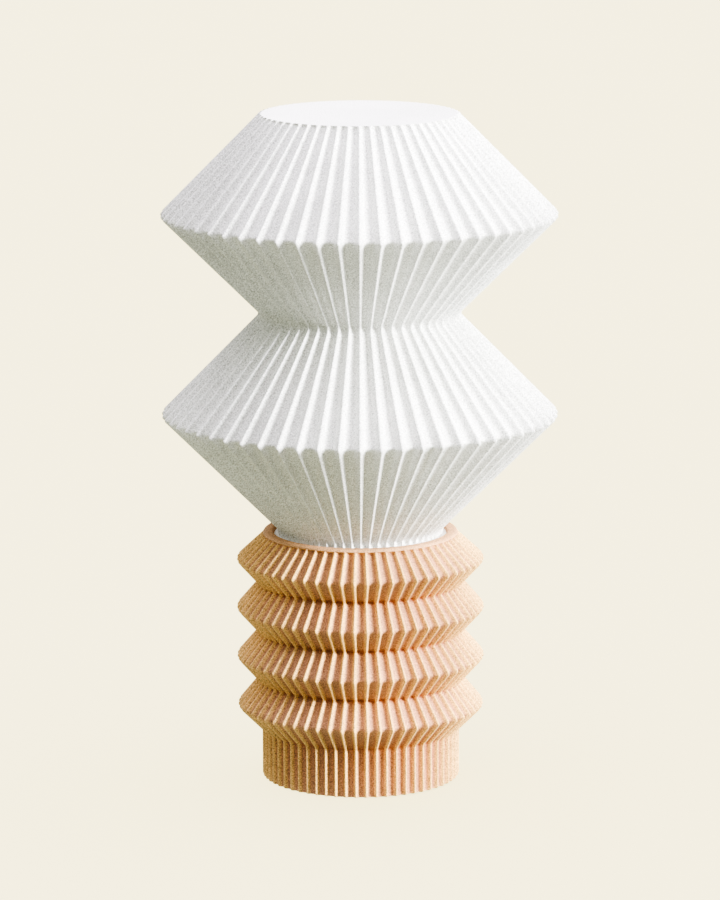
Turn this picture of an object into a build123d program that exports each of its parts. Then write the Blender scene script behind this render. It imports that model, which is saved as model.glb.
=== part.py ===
from build123d import *
import os
from math import cos, sin, radians, degrees, tan

os.makedirs("parts", exist_ok=True)

# ---------------------------------------------------------------------------
# Pleated table lamp: a closed white pleated shade standing in the collar of a
# terracotta pleated base.  Millimetres, +Z up, origin on the table under the
# middle of the base, front of the lamp towards -Y.
# ---------------------------------------------------------------------------

# pleats: both shells carry the same number of ridges
PLEATS = 60
LAND = 0.16            # width of a ridge's flat top, as a share of the pitch
FLOOR = 0.48           # width of the valley floor, as a share of the pitch
DEPTH = 0.052          # pleat depth, as a share of the ridge radius

# shade, ridge radius against height
SHADE_SEAT_Z = 153.0   # underside of the rim, resting on the base's ledge
SHADE_RIM_R = 53.4
SHADE_RIM_TOP = 157.2
SHADE_WAIST_Z = 290.5
SHADE_PROFILE = [(157.2, 53.4), (228.5, 120.0), (SHADE_WAIST_Z, 62.2), (351.5, 120.0), (412.0, 61.25)]
SHADE_TOP = 412.8
SHADE_DISC_R = 60.8
SHADE_WALL = 3.0       # measured level, so about 2.1 square to the wall
NECK_R = 51.5
NECK_BORE_R = 47.5
NECK_BOTTOM = 145.5
NECK_RING_TOP = 157.0

# base, ridge radius against height
BASE_BOTTOM = 0.8
FOOT_R = 60.7
FOOT_TOP = 30.9
TIER_R = 75.0
WAIST_R = 64.7
BASE_PROFILE = [
    (BASE_BOTTOM, FOOT_R), (FOOT_TOP, FOOT_R),
    (46.0, TIER_R), (61.8, WAIST_R),
    (76.6, TIER_R), (92.4, WAIST_R),
    (107.2, TIER_R), (123.0, WAIST_R),
    (137.8, TIER_R), (153.4, 60.2),
]
TIER_SEAMS = [61.8, 92.4, 123.0]
BASE_TOP = 155.5
COLLAR_BORE_R = 52.0
LEDGE_R = 55.0
WELL_FLOOR = 143.5
DECK_UNDER = 139.5
WELL_OUTER_R = 54.4

# bottom closure
FOOT_BORE_R = 55.1
PAD_T = 2.5            # rubber feet
COVER_R = 54.7
COVER_T = 2.0
BALLAST_R = 50.0
BALLAST_T = 8.0
SCREW_PCR = 44.0
LUG_TOP = 28.0

# rear connector pad on the foot
PAD_X = 23.5
PAD_FACE_Y = 58.0
PAD_BACK_Y = 55.0
PAD_Z0, PAD_Z1 = 5.5, 27.5
PORT_Z = 16.5
INLET_X = -10.5
SWITCH_X = 12.0
BUTTON_TRAVEL = 2.0

# lampholder and bulb (E27)
TUBE_R = 4.95
HOLDER_R = 19.7
HOLDER_TOP = 194.0
SLEEVE_BORE_R = 13.55
CAP_R = 13.2
TIP_Z = 170.05
BULB_R = 30.0
BULB_MID_Z = 250.0
GLOBE_SEAT_Z = 240.0
LEAD_R = 0.9


def star(radius, phase):
    """Cross-section of a pleated skin: flat ridge, flank, flat valley, flank."""
    pitch = 360.0 / PLEATS
    pts = []
    for i in range(PLEATS):
        for u, r in (
            (-LAND / 2, radius),
            (LAND / 2, radius),
            (0.5 - FLOOR / 2, radius * (1 - DEPTH)),
            (0.5 + FLOOR / 2, radius * (1 - DEPTH)),
        ):
            a = radians(phase + (i + u) * pitch)
            pts.append((r * cos(a), r * sin(a)))
    return pts


def pleated(profile, phase):
    """Closed pleated body.  Every section is a scaled copy of the last, so each
    facet between two folds is truly flat, which a ruled loft would not keep."""
    rings = [[Vector(x, y, z) for x, y in star(r, phase)] for z, r in profile]
    n = len(rings[0])
    facets = [
        Face(Wire.make_polygon([lo[i], lo[(i + 1) % n], hi[(i + 1) % n], hi[i]]))
        for lo, hi in zip(rings, rings[1:])
        for i in range(n)
    ]
    facets.append(Face(Wire.make_polygon(rings[0])))
    facets.append(Face(Wire.make_polygon(rings[-1])))
    return Solid(Shell(facets))


def rear(x, y, z):
    """Plane at a point of the rear pad, looking out of the lamp along +Y."""
    return Plane(origin=(x, y, z), x_dir=(1, 0, 0), z_dir=(0, 1, 0))


def bend_radii(pts, last=None):
    """Largest even bend at each corner of a lead's route."""
    v = [Vector(*p) for p in pts]
    radii = []
    for a, b, c in zip(v, v[1:], v[2:]):
        turn = (b - a).get_angle(c - b)
        radii.append(0.45 * min((b - a).length, (c - b).length) / tan(radians(turn / 2)))
    if last:
        radii[-1] = last
    return radii


# ---------------------------------------------------------------------------
# shade
# ---------------------------------------------------------------------------
shade_skin = pleated(SHADE_PROFILE, 0.0)
shade_hollow = pleated(
    [(157.0, 50.2), (228.5, 120.0 - SHADE_WALL), (SHADE_WAIST_Z, 62.2 - SHADE_WALL),
     (351.5, 120.0 - SHADE_WALL), (410.0, 62.8 - SHADE_WALL)], 0.0)

with BuildPart() as whole_shade:
    add(shade_skin)
    # closed flat top disc, flush with the ridges that run into it
    with BuildSketch(Plane.XZ):
        with BuildLine():
            Polyline((0, 411.6), (SHADE_PROFILE[-1][1] - 0.5, 411.6), (SHADE_PROFILE[-1][1], 412.0),
                     (SHADE_DISC_R + 0.25, SHADE_TOP - 0.25), (SHADE_DISC_R, SHADE_TOP), (0, SHADE_TOP),
                     close=True)
        make_face()
    revolve(axis=Axis.Z)
    # smooth lower rim and the neck that drops into the base's collar
    with BuildSketch(Plane.XZ):
        with BuildLine():
            Polyline((0, NECK_BOTTOM), (NECK_R - 0.6, NECK_BOTTOM), (NECK_R, NECK_BOTTOM + 0.6),
                     (NECK_R, SHADE_SEAT_Z), (SHADE_RIM_R - 0.4, SHADE_SEAT_Z),
                     (SHADE_RIM_R, SHADE_SEAT_Z + 0.4), (SHADE_RIM_R, SHADE_RIM_TOP),
                     (0, SHADE_RIM_TOP), close=True)
        make_face()
    revolve(axis=Axis.Z)
    # the hollow follows the pleats, and the neck is open
    add(shade_hollow, mode=Mode.SUBTRACT)
    with BuildSketch(Plane.XY.offset(NECK_BOTTOM - 1)):
        Circle(NECK_BORE_R)
    extrude(amount=157.3 - NECK_BOTTOM + 1, mode=Mode.SUBTRACT)

# the smooth neck ring and each double cone are mouldings of their own, joined edge to edge
with BuildPart() as shade_neck_ring:
    add(whole_shade.part)
    split(bisect_by=Plane.XY.offset(NECK_RING_TOP), keep=Keep.BOTTOM)
shade_neck_ring.part.label = "shade_neck_ring"
export_step(shade_neck_ring.part, "parts/shade_neck_ring.step")

with BuildPart() as shade_lower:
    add(whole_shade.part)
    split(bisect_by=Plane.XY.offset(SHADE_WAIST_Z), keep=Keep.BOTTOM)
    split(bisect_by=Plane.XY.offset(NECK_RING_TOP), keep=Keep.TOP)
shade_lower.part.label = "shade_lower"
export_step(shade_lower.part, "parts/shade_lower.step")

with BuildPart() as shade_upper:
    add(whole_shade.part)
    split(bisect_by=Plane.XY.offset(SHADE_WAIST_Z), keep=Keep.TOP)
shade_upper.part.label = "shade_upper"
export_step(shade_upper.part, "parts/shade_upper.step")

# ---------------------------------------------------------------------------
# base
# ---------------------------------------------------------------------------
base_skin = pleated(BASE_PROFILE, 180.0 / PLEATS)

with BuildPart() as whole_base:
    add(base_skin)
    # smooth rounded rim ring that the ribs run into
    with BuildSketch(Plane.XZ):
        with BuildLine():
            Polyline((0, 153.4), (60.2, 153.4), (59.7, 154.5), (58.9, 155.2), (57.8, BASE_TOP),
                     (0, BASE_TOP), close=True)
        make_face()
    revolve(axis=Axis.Z)
    # flat pad on the back of the foot for the inlet and the switch
    with BuildSketch(rear(0, PAD_BACK_Y - 5.0, (PAD_Z0 + PAD_Z1) / 2)):
        RectangleRounded(2 * PAD_X, PAD_Z1 - PAD_Z0, 2.5)
    extrude(amount=PAD_FACE_Y - PAD_BACK_Y + 5.0)
    with BuildSketch(rear(0, PAD_FACE_Y, (PAD_Z0 + PAD_Z1) / 2)):
        RectangleRounded(2 * PAD_X, PAD_Z1 - PAD_Z0, 2.5)
    extrude(amount=5.0, mode=Mode.SUBTRACT)
    # one hollow, open at the bottom, that follows the tiers and rises round the well
    with BuildSketch(Plane.XZ):
        with BuildLine():
            Polyline((0, 0), (FOOT_BORE_R, 0), (FOOT_BORE_R, 31.8), (67.7, 46.0), (57.9, 61.8),
                     (67.7, 76.6), (57.9, 92.4), (67.7, 107.2), (57.9, 123.0), (67.7, 137.8),
                     (57.9, 148.9), (WELL_OUTER_R, 148.9), (WELL_OUTER_R, DECK_UNDER), (0, DECK_UNDER),
                     close=True)
        make_face()
    revolve(axis=Axis.Z, mode=Mode.SUBTRACT)
    # the ledge that the shade's rim stands on, and the bore that the well is set in
    with BuildSketch(Plane.XY.offset(SHADE_SEAT_Z)):
        Circle(LEDGE_R)
    extrude(amount=BASE_TOP - SHADE_SEAT_Z + 1, mode=Mode.SUBTRACT)
    with BuildSketch(Plane.XY.offset(DECK_UNDER - 1)):
        Circle(WELL_OUTER_R)
    extrude(amount=BASE_TOP - DECK_UNDER + 2, mode=Mode.SUBTRACT)
    # lugs that take the cover screws
    with BuildSketch(Plane.XY.offset(PAD_T + COVER_T + BALLAST_T)):
        with PolarLocations(47.0, 4, start_angle=45):
            Rectangle(18, 12)
    extrude(amount=LUG_TOP - PAD_T - COVER_T - BALLAST_T)
    with BuildSketch(Plane.XY.offset(PAD_T + COVER_T + BALLAST_T - 1)):
        with PolarLocations(SCREW_PCR, 4, start_angle=45):
            Circle(2.05)
    extrude(amount=12.0, mode=Mode.SUBTRACT)
    # window behind the connector plate, and the rebate that the plate is set in
    with BuildSketch(rear(0, PAD_BACK_Y - 6.0, PORT_Z)):
        Rectangle(43, 18)
    extrude(amount=6.0, mode=Mode.SUBTRACT)
    with BuildSketch(rear(0, PAD_BACK_Y, (PAD_Z0 + PAD_Z1) / 2)):
        RectangleRounded(2 * PAD_X, PAD_Z1 - PAD_Z0, 2.5)
    extrude(amount=8.0, mode=Mode.SUBTRACT)

# the base is a stack of rings that meet in the folds: the straight foot, then one ring a tier
with BuildPart() as base_foot:
    add(whole_base.part)
    split(bisect_by=Plane.XY.offset(FOOT_TOP), keep=Keep.BOTTOM)
base_foot.part.label = "base_foot"
export_step(base_foot.part, "parts/base_foot.step")

with BuildPart() as base_tier_1:
    add(whole_base.part)
    split(bisect_by=Plane.XY.offset(FOOT_TOP), keep=Keep.TOP)
    split(bisect_by=Plane.XY.offset(TIER_SEAMS[0]), keep=Keep.BOTTOM)
base_tier_1.part.label = "base_tier_1"
export_step(base_tier_1.part, "parts/base_tier_1.step")

with BuildPart() as base_tier_2:
    add(whole_base.part)
    split(bisect_by=Plane.XY.offset(TIER_SEAMS[0]), keep=Keep.TOP)
    split(bisect_by=Plane.XY.offset(TIER_SEAMS[1]), keep=Keep.BOTTOM)
base_tier_2.part.label = "base_tier_2"
export_step(base_tier_2.part, "parts/base_tier_2.step")

with BuildPart() as base_tier_3:
    add(whole_base.part)
    split(bisect_by=Plane.XY.offset(TIER_SEAMS[1]), keep=Keep.TOP)
    split(bisect_by=Plane.XY.offset(TIER_SEAMS[2]), keep=Keep.BOTTOM)
base_tier_3.part.label = "base_tier_3"
export_step(base_tier_3.part, "parts/base_tier_3.step")

with BuildPart() as base_tier_4:
    add(whole_base.part)
    split(bisect_by=Plane.XY.offset(TIER_SEAMS[2]), keep=Keep.TOP)
base_tier_4.part.label = "base_tier_4"
export_step(base_tier_4.part, "parts/base_tier_4.step")

# cup that takes the shade's neck; its floor is the deck that carries the lampholder
with BuildPart() as base_well:
    with BuildSketch(Plane.XZ):
        with BuildLine():
            Polyline((TUBE_R + 0.08, DECK_UNDER), (WELL_OUTER_R, DECK_UNDER), (WELL_OUTER_R, SHADE_SEAT_Z),
                     (COLLAR_BORE_R, SHADE_SEAT_Z), (COLLAR_BORE_R, WELL_FLOOR), (TUBE_R + 0.08, WELL_FLOOR),
                     close=True)
        make_face()
    revolve(axis=Axis.Z)
base_well.part.label = "base_well"
export_step(base_well.part, "parts/base_well.step")

# flat plate at the back of the foot, with the cut-outs for the inlet and the switch
with BuildPart() as connector_plate:
    with BuildSketch(rear(0, PAD_BACK_Y, (PAD_Z0 + PAD_Z1) / 2)):
        RectangleRounded(2 * PAD_X, PAD_Z1 - PAD_Z0, 2.5)
    extrude(amount=PAD_FACE_Y - PAD_BACK_Y)
    with BuildSketch(rear(INLET_X, PAD_BACK_Y - 1.0, PORT_Z)):
        RectangleRounded(20.6, 12.4, 1.6)
    extrude(amount=6.0, mode=Mode.SUBTRACT)
    with BuildSketch(rear(SWITCH_X, PAD_BACK_Y - 1.0, PORT_Z)):
        Circle(5.88)
    extrude(amount=6.0, mode=Mode.SUBTRACT)
connector_plate.part.label = "connector_plate"
export_step(connector_plate.part, "parts/connector_plate.step")

with BuildPart() as bottom_cover:
    with BuildSketch(Plane.XY.offset(PAD_T)):
        Circle(COVER_R)
        with PolarLocations(SCREW_PCR, 4, start_angle=45):
            Circle(2.25, mode=Mode.SUBTRACT)
    extrude(amount=COVER_T)
    chamfer(bottom_cover.edges().filter_by(GeomType.CIRCLE).sort_by(SortBy.RADIUS)[-1], 0.4)
bottom_cover.part.label = "bottom_cover"
export_step(bottom_cover.part, "parts/bottom_cover.step")

with BuildPart() as rubber_feet:
    with BuildSketch():
        with PolarLocations(42.0, 4):
            Circle(8.0)
    extrude(amount=PAD_T)
    chamfer(rubber_feet.edges().group_by(Axis.Z)[0], 0.5)
rubber_feet.part.label = "rubber_feet"
export_step(rubber_feet.part, "parts/rubber_feet.step")

with BuildPart() as ballast_disc:
    with BuildSketch(Plane.XY.offset(PAD_T + COVER_T)):
        Circle(BALLAST_R)
        with Locations((0, 37.0 + 20.0)):
            Rectangle(120, 40, mode=Mode.SUBTRACT)
        with PolarLocations(SCREW_PCR, 4, start_angle=45):
            Circle(2.25, mode=Mode.SUBTRACT)
    extrude(amount=BALLAST_T)
ballast_disc.part.label = "ballast_disc"
export_step(ballast_disc.part, "parts/ballast_disc.step")

# four pan-head screws, through cover and ballast into the shell's lugs
with BuildPart() as cover_screws:
    with BuildSketch(Plane.XY.offset(PAD_T - 2.2)):
        with PolarLocations(SCREW_PCR, 4, start_angle=45):
            Circle(3.75)
    extrude(amount=2.2)
    chamfer(cover_screws.edges().group_by(Axis.Z)[0], 0.8)
    with BuildSketch(Plane.XY.offset(PAD_T)):
        with PolarLocations(SCREW_PCR, 4, start_angle=45):
            Circle(2.0)
    extrude(amount=19.5)
    with BuildSketch(Plane.XY.offset(PAD_T - 2.2)):
        with PolarLocations(SCREW_PCR, 4, start_angle=45):
            Rectangle(4.0, 0.8)
            Rectangle(0.8, 4.0)
    extrude(amount=1.3, mode=Mode.SUBTRACT)
cover_screws.part.label = "cover_screws"
export_step(cover_screws.part, "parts/cover_screws.step")

# ---------------------------------------------------------------------------
# rear pad: two-pole inlet and push switch
# ---------------------------------------------------------------------------
with BuildPart() as power_inlet:
    with BuildSketch(rear(INLET_X, PAD_FACE_Y, PORT_Z)):
        RectangleRounded(24.0, 14.4, 2.5)
    extrude(amount=1.5)
    with BuildSketch(rear(INLET_X, PAD_FACE_Y - 17.0, PORT_Z)):
        RectangleRounded(20.4, 12.2, 1.5)
    extrude(amount=17.0)
    with BuildSketch(rear(INLET_X, PAD_FACE_Y - 11.0, PORT_Z)):
        with Locations((-3.9, 0), (3.9, 0)):
            Circle(4.4)
        Rectangle(7.8, 6.4)
    extrude(amount=13.0, mode=Mode.SUBTRACT)
    with BuildSketch(rear(INLET_X, PAD_FACE_Y - 18.0, PORT_Z)):
        with Locations((-4.3, 0), (4.3, 0)):
            Circle(1.22)
    extrude(amount=8.0, mode=Mode.SUBTRACT)
power_inlet.part.label = "power_inlet"
export_step(power_inlet.part, "parts/power_inlet.step")

with BuildPart() as inlet_pins:
    with BuildSketch(rear(INLET_X, 36.5, PORT_Z)):
        with Locations((-4.3, 0), (4.3, 0)):
            Circle(1.2)
    extrude(amount=20.5)
    chamfer(inlet_pins.edges().group_by(Axis.Y)[-1], 0.4)
inlet_pins.part.label = "inlet_pins"
export_step(inlet_pins.part, "parts/inlet_pins.step")

with BuildPart() as switch_body:
    with BuildSketch(rear(SWITCH_X, PAD_FACE_Y, PORT_Z)):
        Circle(7.2)
    extrude(amount=1.5)
    chamfer(switch_body.edges().group_by(Axis.Y)[-1], 0.5)
    with BuildSketch(rear(SWITCH_X, PAD_FACE_Y - 18.0, PORT_Z)):
        Circle(5.8)
    extrude(amount=18.0)
    with BuildSketch(rear(SWITCH_X, 47.0, PORT_Z)):
        Circle(4.3)
    extrude(amount=14.0, mode=Mode.SUBTRACT)
    with BuildSketch(rear(SWITCH_X, 35.0, PORT_Z)):
        with Locations((-3.0, 0), (3.0, 0)):
            Rectangle(0.8, 4.6)
    extrude(amount=5.5)
switch_body.part.label = "switch_body"
export_step(switch_body.part, "parts/switch_body.step")

with BuildPart() as switch_nut:
    with BuildSketch(rear(SWITCH_X, PAD_BACK_Y - 2.5, PORT_Z)):
        RegularPolygon(7.0, 6, major_radius=False)
        Circle(5.86, mode=Mode.SUBTRACT)
    extrude(amount=2.5)
switch_nut.part.label = "switch_nut"
export_step(switch_nut.part, "parts/switch_nut.step")

with BuildPart() as switch_button:
    with BuildSketch(rear(SWITCH_X, 49.6, PORT_Z)):
        Circle(4.22)
    extrude(amount=12.4)
    fillet(switch_button.edges().group_by(Axis.Y)[-1], 0.7)
switch_button.part.label = "switch_button"
export_step(switch_button.part, "parts/switch_button.step")

# ---------------------------------------------------------------------------
# lampholder on its threaded tube
# ---------------------------------------------------------------------------
with BuildPart() as threaded_tube:
    with BuildSketch(Plane.XY.offset(132.5)):
        Circle(TUBE_R)
        Circle(3.5, mode=Mode.SUBTRACT)
    extrude(amount=18.5)
threaded_tube.part.label = "threaded_tube"
export_step(threaded_tube.part, "parts/threaded_tube.step")

with BuildPart() as tube_washer:
    with BuildSketch(Plane.XY.offset(DECK_UNDER - 1.5)):
        Circle(10.0)
        Circle(TUBE_R + 0.08, mode=Mode.SUBTRACT)
    extrude(amount=1.5)
tube_washer.part.label = "tube_washer"
export_step(tube_washer.part, "parts/tube_washer.step")

with BuildPart() as tube_nut:
    with BuildSketch(Plane.XY.offset(DECK_UNDER - 5.5)):
        RegularPolygon(7.0, 6, major_radius=False)
        Circle(TUBE_R + 0.05, mode=Mode.SUBTRACT)
    extrude(amount=4.0)
tube_nut.part.label = "tube_nut"
export_step(tube_nut.part, "parts/tube_nut.step")

with BuildPart() as holder_cap:
    with BuildSketch(Plane.XZ):
        with BuildLine():
            Polyline((TUBE_R + 0.05, WELL_FLOOR), (13.0, WELL_FLOOR), (17.2, 146.8), (19.3, 152.0),
                     (19.5, 154.5), (19.5, 160.0), (17.5, 160.0), (17.5, 156.0), (15.6, 156.0),
                     (15.6, 152.0), (14.0, 149.5), (TUBE_R + 0.05, 149.5), close=True)
        make_face()
    revolve(axis=Axis.Z)
holder_cap.part.label = "holder_cap"
export_step(holder_cap.part, "parts/holder_cap.step")

with BuildPart() as holder_insulator:
    with BuildSketch(Plane.XY.offset(156.0)):
        Circle(17.4)
    extrude(amount=12.0)
    with BuildSketch(Plane.XY.offset(155.0)):
        with Locations((-9, 0), (9, 0)):
            Circle(1.55)
    extrude(amount=9.2, mode=Mode.SUBTRACT)
holder_insulator.part.label = "holder_insulator"
export_step(holder_insulator.part, "parts/holder_insulator.step")

with BuildPart() as holder_terminal_screws:
    with BuildSketch(Plane.XY.offset(153.6)):
        with Locations((-9, 0), (9, 0)):
            Circle(2.75)
    extrude(amount=2.4)
    with BuildSketch(Plane.XY.offset(156.0)):
        with Locations((-9, 0), (9, 0)):
            Circle(1.5)
    extrude(amount=8.0)
    with BuildSketch(Plane.XY.offset(153.6)):
        with Locations((-9, 0), (9, 0)):
            Rectangle(5.6, 0.8)
    extrude(amount=1.0, mode=Mode.SUBTRACT)
holder_terminal_screws.part.label = "holder_terminal_screws"
export_step(holder_terminal_screws.part, "parts/holder_terminal_screws.step")

with BuildPart() as holder_skirt:
    with BuildSketch(Plane.XZ):
        with BuildLine():
            Polyline((17.5, 160.0), (19.5, 160.0), (HOLDER_R, 161.0), (HOLDER_R, 186.0), (21.2, 187.0),
                     (21.2, 189.5), (HOLDER_R, 190.5), (HOLDER_R - 0.4, HOLDER_TOP - 0.4),
                     (HOLDER_R - 1.0, HOLDER_TOP), (13.8, HOLDER_TOP), (13.8, 190.0), (17.5, 190.0),
                     close=True)
        make_face()
    revolve(axis=Axis.Z)
holder_skirt.part.label = "holder_skirt"
export_step(holder_skirt.part, "parts/holder_skirt.step")

with BuildPart() as holder_screw_sleeve:
    with BuildSketch(Plane.XY.offset(168.0)):
        Circle(14.3)
        Circle(SLEEVE_BORE_R, mode=Mode.SUBTRACT)
    extrude(amount=22.0)
holder_screw_sleeve.part.label = "holder_screw_sleeve"
export_step(holder_screw_sleeve.part, "parts/holder_screw_sleeve.step")

with BuildPart() as holder_centre_contact:
    with BuildSketch(Plane.XY.offset(168.0)):
        RectangleRounded(18.0, 5.0, 1.2)
    extrude(amount=0.6)
    with BuildSketch(Plane.XY.offset(168.6)):
        RectangleRounded(7.0, 5.0, 1.2)
    extrude(amount=1.4)
holder_centre_contact.part.label = "holder_centre_contact"
export_step(holder_centre_contact.part, "parts/holder_centre_contact.step")

# ---------------------------------------------------------------------------
# bulb
# ---------------------------------------------------------------------------
with BuildPart() as bulb_tip_contact:
    with BuildSketch(Plane.XZ):
        with BuildLine():
            Polyline((0, TIP_Z), (2.4, TIP_Z), (4.2, 170.7), (4.7, 171.6), (0, 171.6), close=True)
        make_face()
    revolve(axis=Axis.Z)
bulb_tip_contact.part.label = "bulb_tip_contact"
export_step(bulb_tip_contact.part, "parts/bulb_tip_contact.step")

with BuildPart() as bulb_cap_insulator:
    with BuildSketch(Plane.XZ):
        with BuildLine():
            Polyline((0, 171.6), (6.2, 171.6), (11.6, 174.9), (0, 174.9), close=True)
        make_face()
    revolve(axis=Axis.Z)
bulb_cap_insulator.part.label = "bulb_cap_insulator"
export_step(bulb_cap_insulator.part, "parts/bulb_cap_insulator.step")

with BuildPart() as bulb_screw_cap:
    with BuildSketch(Plane.XZ):
        with BuildLine():
            Polyline((0, 174.9), (12.2, 174.9), (CAP_R, 176.4), (CAP_R, 197.0), (12.7, 197.0),
                     (12.7, 176.6), (12.0, 175.5), (0, 175.5), close=True)
        make_face()
    revolve(axis=Axis.Z)
bulb_screw_cap.part.label = "bulb_screw_cap"
export_step(bulb_screw_cap.part, "parts/bulb_screw_cap.step")

# housing flares from the cap to the widest part of the bulb
seat_r = (BULB_R ** 2 - (BULB_MID_Z - GLOBE_SEAT_Z) ** 2) ** 0.5
with BuildPart() as bulb_housing:
    with BuildSketch(Plane.XZ):
        with BuildLine():
            Polyline((14.4, 197.0), (12.65, 197.0), (12.65, 178.0), (0, 178.0), (0, GLOBE_SEAT_Z),
                     (seat_r, GLOBE_SEAT_Z))
            Spline((seat_r, GLOBE_SEAT_Z), (24.9, 230.0), (18.6, 216.0), (14.9, 203.0), (14.4, 197.0),
                   tangents=((-10.0 / seat_r, -1.0), (0, -1.0)))
        make_face()
    revolve(axis=Axis.Z)
    # driver space, with a ledge for the board
    with BuildSketch(Plane.XZ):
        with BuildLine():
            Polyline((0, 184.0), (10.6, 184.0), (10.6, 203.0), (16.6, 217.5), (22.4, 231.5), (23.6, 238.4),
                     (26.6, 238.4), (26.6, GLOBE_SEAT_Z), (0, GLOBE_SEAT_Z), close=True)
        make_face()
    revolve(axis=Axis.Z, mode=Mode.SUBTRACT)
bulb_housing.part.label = "bulb_housing"
export_step(bulb_housing.part, "parts/bulb_housing.step")

with BuildPart() as bulb_led_board:
    with BuildSketch(Plane.XY.offset(238.4)):
        Circle(26.5)
    extrude(amount=1.6)
    with BuildSketch(Plane.XY.offset(240.0)):
        with PolarLocations(16.0, 10):
            Rectangle(2.8, 3.5)
    extrude(amount=0.8)
bulb_led_board.part.label = "bulb_led_board"
export_step(bulb_led_board.part, "parts/bulb_led_board.step")

with BuildPart() as bulb_globe:
    with BuildSketch(Plane.XZ.offset(0)) as globe_section:
        with Locations((0, BULB_MID_Z)):
            Circle(BULB_R)
            Circle(BULB_R - 1.5, mode=Mode.SUBTRACT)
        with Locations((-50, BULB_MID_Z)):
            Rectangle(100, 100, mode=Mode.SUBTRACT)
        with Locations((0, GLOBE_SEAT_Z - 50)):
            Rectangle(100, 100, mode=Mode.SUBTRACT)
    revolve(axis=Axis.Z)
bulb_globe.part.label = "bulb_globe"
export_step(bulb_globe.part, "parts/bulb_globe.step")

# ---------------------------------------------------------------------------
# internal leads, single insulated wires
# ---------------------------------------------------------------------------
NEUTRAL = [(-14.8, 36.5, 16.5), (-14.8, 27.0, 16.5), (-9.6, 12.5, 27.0), (-5.2, 4.6, 58.0),
           (-2.6, 1.4, 94.0), (-1.7, 0.2, 126.0), (-1.7, 0.0, 155.0), (-6.25, 0.0, 155.0)]
LIVE = [(15.0, 35.0, 16.5), (15.0, 26.0, 16.5), (10.2, 12.0, 28.0), (5.0, 5.4, 61.0),
        (2.8, 1.2, 97.0), (1.7, 0.2, 125.0), (1.7, 0.0, 155.0), (6.25, 0.0, 155.0)]
LINK = [(-6.2, 36.5, 16.5), (-6.2, 28.5, 16.5), (-2.0, 22.8, 17.8), (4.6, 22.5, 17.6),
        (9.0, 27.6, 16.5), (9.0, 35.0, 16.5)]


def first_plane(pts):
    return Plane(origin=pts[0], z_dir=Vector(*pts[1]) - Vector(*pts[0]))


with BuildPart() as lead_neutral:
    with BuildLine() as neutral_path:
        FilletPolyline(*NEUTRAL, radius=bend_radii(NEUTRAL, 3.9))
    with BuildSketch(first_plane(NEUTRAL)):
        Circle(LEAD_R)
    sweep(path=neutral_path.wires()[0])
lead_neutral.part.label = "lead_neutral"
export_step(lead_neutral.part, "parts/lead_neutral.step")

with BuildPart() as lead_live:
    with BuildLine() as live_path:
        FilletPolyline(*LIVE, radius=bend_radii(LIVE, 3.9))
    with BuildSketch(first_plane(LIVE)):
        Circle(LEAD_R)
    sweep(path=live_path.wires()[0])
lead_live.part.label = "lead_live"
export_step(lead_live.part, "parts/lead_live.step")

with BuildPart() as lead_link:
    with BuildLine() as link_path:
        FilletPolyline(*LINK, radius=bend_radii(LINK))
    with BuildSketch(first_plane(LINK)):
        Circle(LEAD_R)
    sweep(path=link_path.wires()[0])
lead_link.part.label = "lead_link"
export_step(lead_link.part, "parts/lead_link.step")

for name, path, solid in (("lead_neutral", neutral_path, lead_neutral), ("lead_live", live_path, lead_live),
                          ("lead_link", link_path, lead_link)):
    length = path.wires()[0].length
    print(name, "length", round(length, 1), "volume ratio",
          round(solid.part.volume / (3.14159265 * LEAD_R ** 2 * length), 3))
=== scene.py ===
import bpy
import math
import numpy as np
from mathutils import Matrix, Vector


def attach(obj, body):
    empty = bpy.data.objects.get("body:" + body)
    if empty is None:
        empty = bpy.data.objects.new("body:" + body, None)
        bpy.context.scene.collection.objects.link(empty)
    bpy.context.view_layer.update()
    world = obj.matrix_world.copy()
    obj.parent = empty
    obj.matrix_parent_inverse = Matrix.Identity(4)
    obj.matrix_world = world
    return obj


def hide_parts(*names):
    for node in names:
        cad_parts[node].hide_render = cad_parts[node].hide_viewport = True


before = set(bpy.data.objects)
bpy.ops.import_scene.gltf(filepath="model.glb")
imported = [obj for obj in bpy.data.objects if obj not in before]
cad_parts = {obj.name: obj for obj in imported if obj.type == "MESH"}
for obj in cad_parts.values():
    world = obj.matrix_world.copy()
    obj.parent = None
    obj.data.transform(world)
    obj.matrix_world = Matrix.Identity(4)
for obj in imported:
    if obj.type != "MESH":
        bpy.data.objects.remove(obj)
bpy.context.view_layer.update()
MM = 0.001

# ---------------------------------------------------------------------------
# camera
# ---------------------------------------------------------------------------
LOOK_AT_Z, DISTANCE, ELEVATION = 0.205, 3.027, math.radians(11.4)
camera_data = bpy.data.cameras.new("camera")
camera = bpy.data.objects.new("camera", camera_data)
bpy.context.scene.collection.objects.link(camera)
camera.location = (0.0, -DISTANCE * math.cos(ELEVATION), LOOK_AT_Z + DISTANCE * math.sin(ELEVATION))
# the picture leans a little to the left
camera.rotation_euler = (Matrix.Rotation(math.pi / 2 - ELEVATION, 4, "X")
                         @ Matrix.Rotation(math.radians(-0.17), 4, "Z")).to_euler()
camera_data.sensor_fit = "HORIZONTAL"
camera_data.sensor_width = 36.0
camera_data.lens = 247.0
camera_data.clip_start = 0.05
camera_data.clip_end = 60.0
bpy.context.scene.camera = camera

# ---------------------------------------------------------------------------
# mesh helpers: everything is given in millimetres and stored in metres
# ---------------------------------------------------------------------------


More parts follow.
